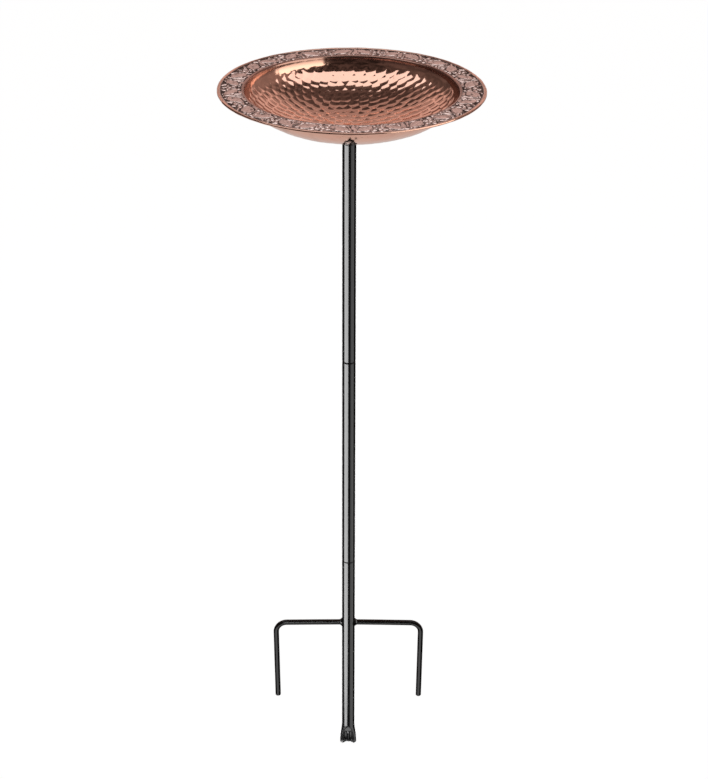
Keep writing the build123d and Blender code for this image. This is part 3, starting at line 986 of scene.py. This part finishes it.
# ---- pole ----------------------------------------------------------------------------------------------
plug = lathe(
    "threaded_insert",
    rounded(
        [
            (0.0, plug_lo[2]),
            (RI - 0.7, plug_lo[2]),
            (RI, plug_lo[2] + 1.2),
            (RI, plug_hi[2] - 0.35),
            (RI - 0.35, plug_hi[2]),
            (4.9, plug_hi[2]),
            (4.15, plug_hi[2] - 0.75),
            (4.12, plug_hi[2] - 14.4),
            (0.0, plug_hi[2] - 16.4),
        ],
        [0, 0.3, 0.3, 0.1, 0.1, 0.15, 0.15, 0.3, 0],
        3,
    ),
    96,
)
dress(plug, MAT_POLE, "upper_section", ["pole_end_plug"])


def straight(z0, z1, step):
    n = max(1, int(round((z1 - z0) / step)))
    return [z0 + (z1 - z0) * i / n for i in range(n + 1)]


def tube_profile(z0, z1, spigot):
    """Outer wall up, end, inner wall down; the lower lip is rolled in a little where sections meet."""
    k = 1.0 if z0 > 500 else 0.6
    lip = [(RI + 0.15, z0), (R - 0.90 * k, z0), (R - 0.62 * k, z0 + 0.25 * k), (R - 0.36 * k, z0 + 0.75 * k), (R - 0.12 * k, z0 + 1.45 * k), (R, z0 + 2.3 * k)]
    out = lip + [(R, z) for z in straight(z0 + 2.6, z1 - 2.6, 18.0)]
    if spigot:
        out += [
            (R, z1 - 1.5),
            (R - 0.06, z1 - 0.9),
            (R - 0.24, z1 - 0.42),
            (R - 0.55, z1 - 0.10),
            (R - 0.9, z1),
            (SPIGOT_R + 0.12, z1),
            (SPIGOT_R, z1 + 0.12),
        ]
        out += [(SPIGOT_R, z) for z in straight(z1 + 1.0, z1 + SPIGOT_LEN - 3.2, 12.0)]
        out += [
            (SPIGOT_R - 0.12, z1 + SPIGOT_LEN - 1.6),
            (SPIGOT_R - 0.42, z1 + SPIGOT_LEN - 0.35),
            (SPIGOT_R - 0.75, z1 + SPIGOT_LEN),
            (SPIGOT_RI + 0.15, z1 + SPIGOT_LEN),
            (SPIGOT_RI, z1 + SPIGOT_LEN - 0.2),
            (SPIGOT_RI, z1 - 1.5),
            (SPIGOT_RI + 0.5, z1 - 3.0),
            (RI, z1 - 5.5),
            (RI, z0 + 0.3),
        ]
    else:
        out += [
            (R, z1 - 0.6),
            (R - 0.12, z1 - 0.2),
            (R - 0.35, z1),
            (RI + 0.15, z1),
            (RI, z1 - 0.2),
            (RI, z0 + 0.3),
        ]
    return out


middle = lathe("middle_pole_tube", tube_profile(SEAM_1, SEAM_2, True), 128, sharp=45)
dress(middle, MAT_POLE, "middle_section", ["middle_tube"])
upper = lathe("upper_pole_tube", tube_profile(SEAM_2, POLE_TOP, False), 128, sharp=45)
dress(upper, MAT_POLE, "upper_section", ["upper_tube"])


# ---- lower tube with the crimped, flared tip --------------------------------------------------------------
TIP_H = 34.0


def build_lower():
    seg = 320
    th = np.linspace(0, 2 * math.pi, seg, endpoint=False)
    # finer samples across the front and the back faces, where the pockets are
    th = th + 0.22 * np.sin(2 * th)
    c, s = np.cos(th), np.sin(th)
    verts, rings = [], []
    total = 0

    def add(ring):
        nonlocal total
        verts.append(ring)
        rings.append((seg, total))
        total += seg

    def flare_half_width(z):
        k = float(smoothstep(TIP_H + 2.0, 6.0, z))
        return R + (TIP_W / 2 - 0.05 - R) * k

    def half_depth(z):
        k = float(smoothstep(TIP_H + 2.0, 3.0, z))
        return R + (5.4 - R) * k

    def arch_half(z):
        """Half-width of the pressed pocket at height z: a pointed arch."""
        if z >= TIP_H:
            return 0.0
        u = min(1.0, (TIP_H - z) / 12.5)
        return 6.9 * (1 - (1 - u) ** 1.75) + 0.02 * (TIP_H - z)

    def tip_ring(z, inset=0.0):
        a, b = flare_half_width(z), half_depth(z)
        k = float(smoothstep(TIP_H + 2, 10.0, z))
        x = a * np.sign(c) * np.abs(c) ** (1.0 - 0.10 * k)
        y = b * np.sign(s) * np.abs(s) ** (1.0 - 0.30 * k)
        # pocket pressed into the front and the back, with a fold standing down the middle
        w = arch_half(z)
        if w > 0:
            d = w - np.abs(x)
            edge = smoothstep(-0.45, 0.75, d)
            # sloping shoulder under the arch, then the two deep channels
            shoulder = 1.2 + 1.3 * float(smoothstep(TIP_H - 1.0, TIP_H - 11.0, z))
            channel = 2.0 * float(smoothstep(TIP_H - 10.0, TIP_H - 14.0, z))
            fold = np.exp(-(((x - 0.4) / 1.5) ** 2)) * float(smoothstep(TIP_H - 10.0, TIP_H - 15.0, z))
            push = edge * (shoulder + channel * np.exp(-(((np.abs(x) - 3.5) / 1.9) ** 4)) - 1.5 * fold)
            y = np.sign(y) * np.maximum(np.abs(y) - push, 0.5)
        if inset:
            x = x * (1 - inset / a)
            y = np.sign(y) * np.maximum(np.abs(y) - inset, 0.12)
        # lobes at the sides reach lowest, the folded middle ends a little higher
        zb = 2.6 * np.exp(-((x / 2.4) ** 2)) + 1.5 * (np.abs(x) / (TIP_W / 2)) ** 8
        zb = zb + 0.10 * np.abs(y)
        f = max(0.0, 1 - z / 9.0)
        zz = z + zb * f**1.2
        return np.column_stack([x, y, zz])

    # hollow bottom: slit between the folded walls, then the outer wall upward
    add(tip_ring(0.9, 2.4) + [0, 0, 5.0])
    add(tip_ring(0.5, 1.6) + [0, 0, 2.0])
    add(tip_ring(0.15, 1.05))
    add(tip_ring(0.0, 0.55))
    add(tip_ring(0.25, 0.2))
    for z in list(np.arange(0.6, TIP_H + 4.5, 0.3)):
        add(tip_ring(float(z)))
    z_join = TIP_H + 5.0
    prof = [(R, z) for z in straight(z_join, SEAM_1 - 2.6, 16.0)] + tube_profile(0, SEAM_1, True)[
        tube_profile(0, SEAM_1, True).index((R, SEAM_1 - 1.5)) : -1
    ]
    prof += [(RI, z_join)]
    for r, z in prof:
        add(np.column_stack([r * c, r * s, np.full(seg, z)]))
    # inside end of the bore, above the crimp
    for r, z in ((RI - 1.2, z_join - 4), (RI - 5.0, z_join - 7), (0.6, z_join - 8)):
        add(np.column_stack([r * c, r * s * (0.55 if r < RI - 2 else 0.85), np.full(seg, z)]))
    v = np.vstack(verts)
    a = len(v)
    v = np.vstack([v, [[0, 0, float(v[:seg, 2].mean()) + 0.3]], [[0, 0, z_join - 8.1]]])
    faces = rings_mesh(rings, closed_start=a, closed_end=a + 1)
    ob = make_object("lower_pole_tube", v, faces)
    outward(ob)
    ob.data.set_sharp_from_angle(angle=math.radians(50))
    return ob


lower = build_lower()
dress(lower, MAT_POLE, "lower_section", ["lower_tube"])

# ---- step-in fork --------------------------------------------------------------------------------------
ARM_Z = (weld_lo[2] + weld_hi[2]) / 2
ROD_R = (prong_hi[1] - prong_lo[1]) / 2
BEND_R = 16.0
DROOP = math.radians(0.75)
LEG_X = 108.0
LEG_END_Z = prong_lo[2]


def fork_path(sign):
    """Centreline points with a tangent at each, from the pole outward."""
    arm = np.array([math.cos(DROOP) * sign, 0, -math.sin(DROOP)])
    leg = np.array([-math.sin(DROOP) * sign, 0, -math.cos(DROOP)])
    start = np.array([0, 0, ARM_Z_AXIS])
    corner = start + arm * (LEG_X / math.cos(DROOP))
    a = corner - arm * BEND_R
    b = corner + leg * BEND_R
    centre = a + leg * BEND_R
    end = corner + leg * ((corner[2] - LEG_END_Z) / math.cos(DROOP) - 0.05)
    pts = []
    for u in np.linspace(8.9, np.linalg.norm(a - start), 22):
        pts.append((start + arm * u, arm, 0.0))
    for k in range(1, 25):
        t = k / 25 * math.pi / 2
        p = centre + (a - centre) * math.cos(t) + (corner - a) * math.sin(t) * 1.0
        tan = arm * math.cos(t) + leg * math.sin(t)
        pts.append((p, tan, math.sin(2 * t)))
    for u in np.linspace(0, np.linalg.norm(end - b), 20):
        pts.append((b + leg * u, leg, 0.0))
    return pts


ARM_Z_AXIS = 216.8


def build_prong(name, sign, seed):
    seg = 48
    r = np.random.default_rng(seed)
    ph = r.uniform(0, 6.28, 4)
    pts = fork_path(sign)
    yv = np.array([0, 1.0, 0])
    verts, rings = [], []
    total = 0
    length = 0.0
    last = None
    for i, (p, t, bend) in enumerate(pts):
        if last is not None:
            length += float(np.linalg.norm(p - last))
        last = p
        n = np.cross(yv, t)
        th = np.linspace(0, 2 * math.pi, seg, endpoint=False)
        # hand-bent rod: a little out of line, and slightly flattened in the bend
        dy = 0.25 * math.sin(length / 60.0 + ph[0]) * min(1.0, length / 40.0)
        flat = 1 - 0.035 * bend
        wide = 1 + 0.025 * bend
        rr = ROD_R * (1 + 0.004 * np.sin(length / 9.0 + ph[1] + 2 * th))
        ring = p + np.outer(np.cos(th) * rr * flat, n) + np.outer(np.sin(th) * rr * wide, yv) + yv * dy
        verts.append(ring)
        rings.append((seg, total))
        total += seg
    # sheared end with a rounded rim
    p, t, _ = pts[-1]
    n = np.cross(yv, t)
    th = np.linspace(0, 2 * math.pi, seg, endpoint=False)
    dy = 0.25 * math.sin(length / 60.0 + ph[0])
    base = p - t * 1.3
    verts[-1] = base + np.outer(np.cos(th) * ROD_R, n) + np.outer(np.sin(th) * ROD_R, yv) + yv * dy
    for k in range(1, 8):
        a = k / 7 * math.pi / 2
        rr = ROD_R - 0.95 * (1 - math.cos(a))
        q = base + t * 1.25 * math.sin(a)
        verts.append(q + np.outer(np.cos(th) * rr, n) + np.outer(np.sin(th) * rr, yv) + yv * dy)
        rings.append((seg, total))
        total += seg
    for rr, dz in ((1.5, 0.06), (0.8, 0.08)):
        q = base + t * (1.25 + dz)
        verts.append(q + np.outer(np.cos(th) * rr, n) + np.outer(np.sin(th) * rr, yv) + yv * dy)
        rings.append((seg, total))
        total += seg
    v = np.vstack(verts)
    a = len(v)
    v = np.vstack([v, [pts[0][0]], [base + t * 1.33 + yv * dy]])
    ob = make_object(name, v, rings_mesh(rings, closed_start=a, closed_end=a + 1))
    outward(ob)
    ob.data.set_sharp_from_angle(angle=math.radians(55))
    return ob


def build_weld(name, sign, seed):
    """Hand-run fillet bead where the rod meets the pole."""
    r = np.random.default_rng(seed)
    seg, rows = 120, 16
    ph = r.uniform(0, 6.28, 6)
    arm = np.array([math.cos(DROOP) * sign, 0, -math.sin(DROOP)])
    yv = np.array([0, 1.0, 0])
    up = np.cross(arm, yv) * (1 if sign > 0 else -1)
    if up[2] < 0:
        up = -up
    start = np.array([0, 0, ARM_Z_AXIS])
    verts, rings = [], []
    total = 0
    th = np.linspace(0, 2 * math.pi, seg, endpoint=False)
    foot = ROD_R + 3.7 + 0.28 * np.sin(2 * th + ph[0]) + 0.22 * np.sin(5 * th + ph[1])
    reach = 4.5 + 0.35 * np.sin(3 * th + ph[2]) + 0.2 * np.sin(6 * th + ph[3])
    for i in range(rows + 1):
        u = i / rows
        a = u * math.pi / 2
        rho = ROD_R - 0.12 + (foot - ROD_R + 0.12) * (1 - math.sin(a))
        out = reach * (1 - math.cos(a))
        # ripples of the bead, fading to its edges
        ripple = 0.16 * np.sin(15 * th + 2.2 * np.sin(u * math.pi) + ph[4]) * math.sin(u * math.pi)
        rho = rho + ripple
        out = out + ripple * 0.6 + 0.45 * math.sin(u * math.pi)
        y = rho * np.cos(th)
        z = rho * np.sin(th)
        surf = np.sqrt(np.maximum(R**2 - y**2, 0))
        d = surf - 0.18 + out
        ring = start + np.outer(d, arm) + np.outer(y, yv) + np.outer(z, up)
        verts.append(ring)
        rings.append((seg, total))
        total += seg
    # close the inside, buried in the rod and the pole wall
    y, z = 2.6 * np.cos(th), 2.6 * np.sin(th)
    verts.append(start + np.outer(np.sqrt(R**2 - y**2) + 3.6, arm) + np.outer(y, yv) + np.outer(z, up))
    rings.append((seg, total))
    total += seg
    verts.append(start + np.outer(np.sqrt(R**2 - y**2) - 0.7, arm) + np.outer(y, yv) + np.outer(z, up))
    rings.append((seg, total))
    total += seg
    y, z = (ROD_R + 3.0) * np.cos(th), (ROD_R + 3.0) * np.sin(th)
    verts.append(start + np.outer(np.sqrt(R**2 - y**2) - 0.75, arm) + np.outer(y, yv) + np.outer(z, up))
    rings.append((seg, total))
    total += seg
    ob = make_object(name, np.vstack(verts), rings_mesh(rings, loop=True))
    outward(ob)
    ob.data.set_sharp_from_angle(angle=math.radians(60))
    return ob


for side, sign in (("left", -1), ("right", 1)):
    prong = build_prong(f"{side}_fork_rod", sign, 11 if sign < 0 else 12)
    dress(prong, MAT_FORK, "lower_section", [f"{side}_prong"])
    weld = build_weld(f"{side}_weld_bead", sign, 21 if sign < 0 else 22)
    dress(weld, MAT_WELD, "lower_section", [f"{side}_weld"])


# ---------------------------------------------------------------------------------------------------
# Floor and backdrop
# ---------------------------------------------------------------------------------------------------
def stage_material(name, emission, diffuse):
    m = bpy.data.materials.new(name)
    m.use_nodes = True
    nt = m.node_tree
    nt.nodes.clear()
    out = nt.nodes.new("ShaderNodeOutputMaterial")
    em = nt.nodes.new("ShaderNodeEmission")
    em.inputs[0].default_value = (1, 1, 1, 1)
    em.inputs[1].default_value = emission
    if diffuse <= 0:
        nt.links.new(em.outputs[0], out.inputs[0])
        return m
    df = nt.nodes.new("ShaderNodeBsdfDiffuse")
    df.inputs[0].default_value = (diffuse, diffuse, diffuse, 1)
    add = nt.nodes.new("ShaderNodeAddShader")
    nt.links.new(em.outputs[0], add.inputs[0])
    nt.links.new(df.outputs[0], add.inputs[1])
    nt.links.new(add.outputs[0], out.inputs[0])
    return m


def disc(name, radius, z, n=128):
    th = np.linspace(0, 2 * math.pi, n, endpoint=False)
    verts = [(radius * math.cos(t), radius * math.sin(t), z) for t in th]
    me = bpy.data.meshes.new(name)
    me.from_pydata(verts, [], [tuple(range(n))])
    ob = bpy.data.objects.new(name, me)
    scene.collection.objects.link(ob)
    return ob


floor = disc("floor", 14.0, -0.0002)
floor.data.materials.append(stage_material("floor_pale", 0.985, 0.10))
floor.visible_glossy = False
floor.visible_shadow = False
floor.visible_transmission = False
floor.visible_diffuse = False

dome_me = bpy.data.meshes.new("backdrop")
dv, df_ = [], []
SEG, RINGS = 64, 16
for i in range(RINGS + 1):
    e = math.radians(-20 + 110 * i / RINGS)
    for j in range(SEG):
        t = 2 * math.pi * j / SEG
        dv.append((13.9 * math.cos(e) * math.cos(t), 13.9 * math.cos(e) * math.sin(t), 13.9 * math.sin(e)))
for i in range(RINGS):
    for j in range(SEG):
        k = (j + 1) % SEG
        df_.append((i * SEG + j, i * SEG + k, (i + 1) * SEG + k, (i + 1) * SEG + j))
dome_me.from_pydata(dv, [], df_)
dome = bpy.data.objects.new("backdrop", dome_me)
scene.collection.objects.link(dome)
dome.data.materials.append(stage_material("backdrop_white", 1.0, 0.0))
dome.visible_glossy = False
dome.visible_diffuse = False
dome.visible_shadow = False
dome.visible_transmission = False


# ---------------------------------------------------------------------------------------------------
# Light
# ---------------------------------------------------------------------------------------------------
def direction(az, el):
    """Unit vector; az in degrees from the front (-Y) towards the right (+X), el above the horizon."""
    a, e = math.radians(az), math.radians(el)
    return Vector((math.sin(a) * math.cos(e), -math.cos(a) * math.cos(e), math.sin(e)))


def softbox(name, az, el, width_deg, height_deg, radiance, distance, target, colour=(1, 1, 1)):
    w = 2 * distance * math.tan(math.radians(width_deg) / 2)
    h = 2 * distance * math.tan(math.radians(height_deg) / 2)
    li = bpy.data.lights.new(name, "AREA")
    li.shape = "RECTANGLE"
    li.size, li.size_y = w, h
    li.energy = radiance * math.pi * w * h
    li.color = colour
    ob = bpy.data.objects.new(name, li)
    scene.collection.objects.link(ob)
    d = direction(az, el)
    ob.location = Vector(target) + d * distance
    ob.rotation_euler = (-d).to_track_quat("-Z", "Y").to_euler()
    ob.visible_camera = False
    return ob


BOWL_C = (0, 0, 1.02)
POLE_C = (0, 0, 0.50)

bowl_group = bpy.data.collections.new("lit_bowl")
pole_group = bpy.data.collections.new("lit_pole")
fork_group = bpy.data.collections.new("lit_fork")
weld_group = bpy.data.collections.new("lit_welds")
tip_group = bpy.data.collections.new("lit_tip")
tip_group.objects.link(lower)
for ob in list(scene.objects):
    if ob.type != "MESH" or ob in (floor, dome):
        continue
    if ob.name in ("hammered_bowl", "copper_boss", "braze_fillet"):
        bowl_group.objects.link(ob)
    elif "fork_rod" in ob.name or "weld_bead" in ob.name:
        fork_group.objects.link(ob)
        if "weld_bead" in ob.name:
            weld_group.objects.link(ob)
    elif not ob.hide_render:
        pole_group.objects.link(ob)


def only(light, group):
    """Keeps a softbox's light to one group of pieces, as flags would in a studio."""
    light.light_linking.receiver_collection = group
    return light


def panel(name, az, distance, z0, z1, width, radiance, colour=(1, 1, 1)):
    """Upright rectangular softbox between heights z0 and z1, facing the pole."""
    d = direction(az, 0)
    li = bpy.data.lights.new(name, "AREA")
    li.shape = "RECTANGLE"
    li.size, li.size_y = width, z1 - z0
    li.energy = radiance * math.pi * width * (z1 - z0)
    li.color = colour
    ob = bpy.data.objects.new(name, li)
    scene.collection.objects.link(ob)
    ob.location = d * distance + Vector((0, 0, (z0 + z1) / 2))
    ob.rotation_euler = (-d).to_track_quat("-Z", "Y").to_euler()
    ob.visible_camera = False
    return ob


# wide overhead box, seen as the long bright band across the basin
top_box = softbox("top_softbox", 0, 89.9, 100, 33, 1.12, 1.7, BOWL_C, (1.0, 0.995, 0.99))
top_box.rotation_euler = (0, 0, 0)
# tall box low on the left: the pole's bright stripe, ending above the flared tip
only(panel("left_strip", -46, 2.4, -1.80, 0.55, 3.24, 10.2), pole_group)
# tall box on the right: the pole's dim stripe
only(panel("right_box_low", 60, 2.4, -2.2, 0.75, 2.77, 1.5), pole_group)
# box on the right for the basin's golden patch, hung a little askew
high = only(softbox("right_box_high", 62, 14, 60, 46, 1.55, 2.4, BOWL_C, (1.0, 0.965, 0.86)), bowl_group)
high.rotation_euler.rotate_axis("Z", math.radians(-9))
# front boxes for the fork, with small ones for the glints on its welds and bends
only(panel("fork_box", -8, 2.4, -2.4, -0.30, 4.6, 1.55), fork_group)
only(softbox("fork_high", -11, 22, 18, 7, 11.0, 2.4, (0, 0, 0.22)), fork_group)
only(softbox("glint_left", -52, 26, 22, 22, 14.0, 2.4, (0, 0, 0.22)), weld_group)
only(softbox("glint_right", 52, 26, 22, 22, 14.0, 2.4, (0, 0, 0.22)), weld_group)
only(softbox("tip_front", -4, -64, 50, 26, 2.2, 2.4, (0, 0, 0.02)), tip_group)
# narrow strip behind, for the views from the back
only(softbox("back_strip", 180, -28, 16, 60, 5.0, 2.8, POLE_C), pole_group)
# light bounced up from the floor to the underside of the bowl
bounce = softbox("floor_bounce", 0, -89.9, 10, 10, 0.57, 1.0, BOWL_C, (1.0, 0.94, 0.915))
bounce.location = (0, 1.0, 0.01)
bounce.rotation_euler = (math.pi, 0, 0)
bounce.data.size, bounce.data.size_y = 3.4, 3.4
bounce.data.energy = 0.57 * math.pi * 3.4 * 3.4
only(bounce, bowl_group)
front = softbox("front_bounce", 0, -89.9, 10, 10, 0.5, 1.0, BOWL_C, (1.0, 0.92, 0.89))
front.location = (0, -2.4, 0.01)
front.rotation_euler = (math.pi, 0, 0)
front.data.size, front.data.size_y = 3.4, 3.4
front.data.energy = 0.50 * math.pi * 3.4 * 3.4
only(front, bowl_group)

world = bpy.data.worlds.new("studio")
scene.world = world
world.use_nodes = True
wt = world.node_tree
wt.nodes.clear()
w_out = wt.nodes.new("ShaderNodeOutputWorld")
w_bg = wt.nodes.new("ShaderNodeBackground")
wt.links.new(w_bg.outputs[0], w_out.inputs[0])
sep = wt.nodes.new("ShaderNodeSeparateXYZ")
wt.links.new(wt.nodes.new("ShaderNodeTexCoord").outputs["Generated"], sep.inputs[0])
X_, Y_, Z_ = sep.outputs


def window(nt, value, lo, hi, soft):
    """1 between lo and hi with soft edges."""
    a = ramp(nt, value, lo - soft, lo + soft)
    b = ramp(nt, value, hi - soft, hi + soft, 1.0, 0.0)
    return math_node(nt, "MULTIPLY", a, b)


azim = math_node(wt, "ARCTAN2", X_, math_node(wt, "MULTIPLY", Y_, -1.0))
elev = math_node(wt, "ARCSINE", Z_)
RAD = math.pi / 180
back_az = math_node(wt, "ABSOLUTE", azim)
# pale wall behind the object, and the dimmer ceiling above it
wall = math_node(wt, "MULTIPLY", window(wt, back_az, 138 * RAD, 400 * RAD, 6 * RAD), window(wt, elev, -12 * RAD, 44 * RAD, 4 * RAD))
panels = math_node(wt, "COSINE", math_node(wt, "MULTIPLY", math_node(wt, "SUBTRACT", elev, 26 * RAD), 360 / 22.0))
wall = math_node(wt, "MULTIPLY", wall, math_node(wt, "ADD", math_node(wt, "MULTIPLY", panels, 0.40), 1.0))
ceiling = math_node(wt, "MULTIPLY", window(wt, back_az, 90 * RAD, 400 * RAD, 12 * RAD), window(wt, elev, 46 * RAD, 76 * RAD, 4 * RAD))
# dim walls at the sides, paler on the right
level = window(wt, elev, -4 * RAD, 58 * RAD, 5 * RAD)
right_side = math_node(wt, "MULTIPLY", math_node(wt, "MULTIPLY", ramp(wt, X_, 0.40, 0.80), ramp(wt, Y_, -0.45, -0.05)), level)
left_side = math_node(wt, "MULTIPLY", ramp(wt, X_, -0.40, -0.80), level)
# what stands about in the room breaks up the dark reflections
clutter = noise(wt, wt.nodes["Texture Coordinate"].outputs["Generated"], 4.5, 3.0, 0.6)
base = ramp(wt, clutter, 0.38, 0.66, 0.018, 0.085)
low = ramp(wt, elev, -14 * RAD, -2 * RAD, 0.55, 1.0)
strength = math_node(wt, "MULTIPLY", base, low)
for part, value in ((wall, 0.50), (ceiling, 0.035), (right_side, 0.21), (left_side, 0.06)):
    strength = math_node(wt, "ADD", strength, math_node(wt, "MULTIPLY", part, value))
w_bg.inputs[0].default_value = (1.0, 0.75, 0.68, 1)
wt.links.new(strength, w_bg.inputs[1])

# ---------------------------------------------------------------------------------------------------
# Camera: the photograph's view, from its perspective
# ---------------------------------------------------------------------------------------------------
W_PX, H_PX = 708, 779
F_PX = 2161.8
cam_data = bpy.data.cameras.new("camera")
cam_data.sensor_fit = "AUTO"
cam_data.sensor_width = 36.0
cam_data.lens = F_PX / H_PX * 36.0
cam_data.clip_start, cam_data.clip_end = 0.05, 100.0
cam = bpy.data.objects.new("camera", cam_data)
scene.collection.objects.link(cam)
pitch = math.radians(26.395)
roll = math.radians(0.175)
fwd = Vector((0, math.cos(pitch), -math.sin(pitch)))
right = Vector((1, 0, 0))
upv = right.cross(fwd)
# turn about the view axis, so that the top of the picture leans to the right
r2 = right * math.cos(roll) + upv * math.sin(roll)
u2 = upv * math.cos(roll) - right * math.sin(roll)
cam.matrix_world = Matrix(
    (
        (r2.x, u2.x, -fwd.x, 0.0073),
        (r2.y, u2.y, -fwd.y, -2.7343),
        (r2.z, u2.z, -fwd.z, 1.9606),
        (0, 0, 0, 1),
    )
)
scene.camera = cam

scene.view_settings.view_transform = "Standard"
scene.view_settings.look = "None"
scene.view_settings.exposure = 0.0
scene.view_settings.gamma = 1.0
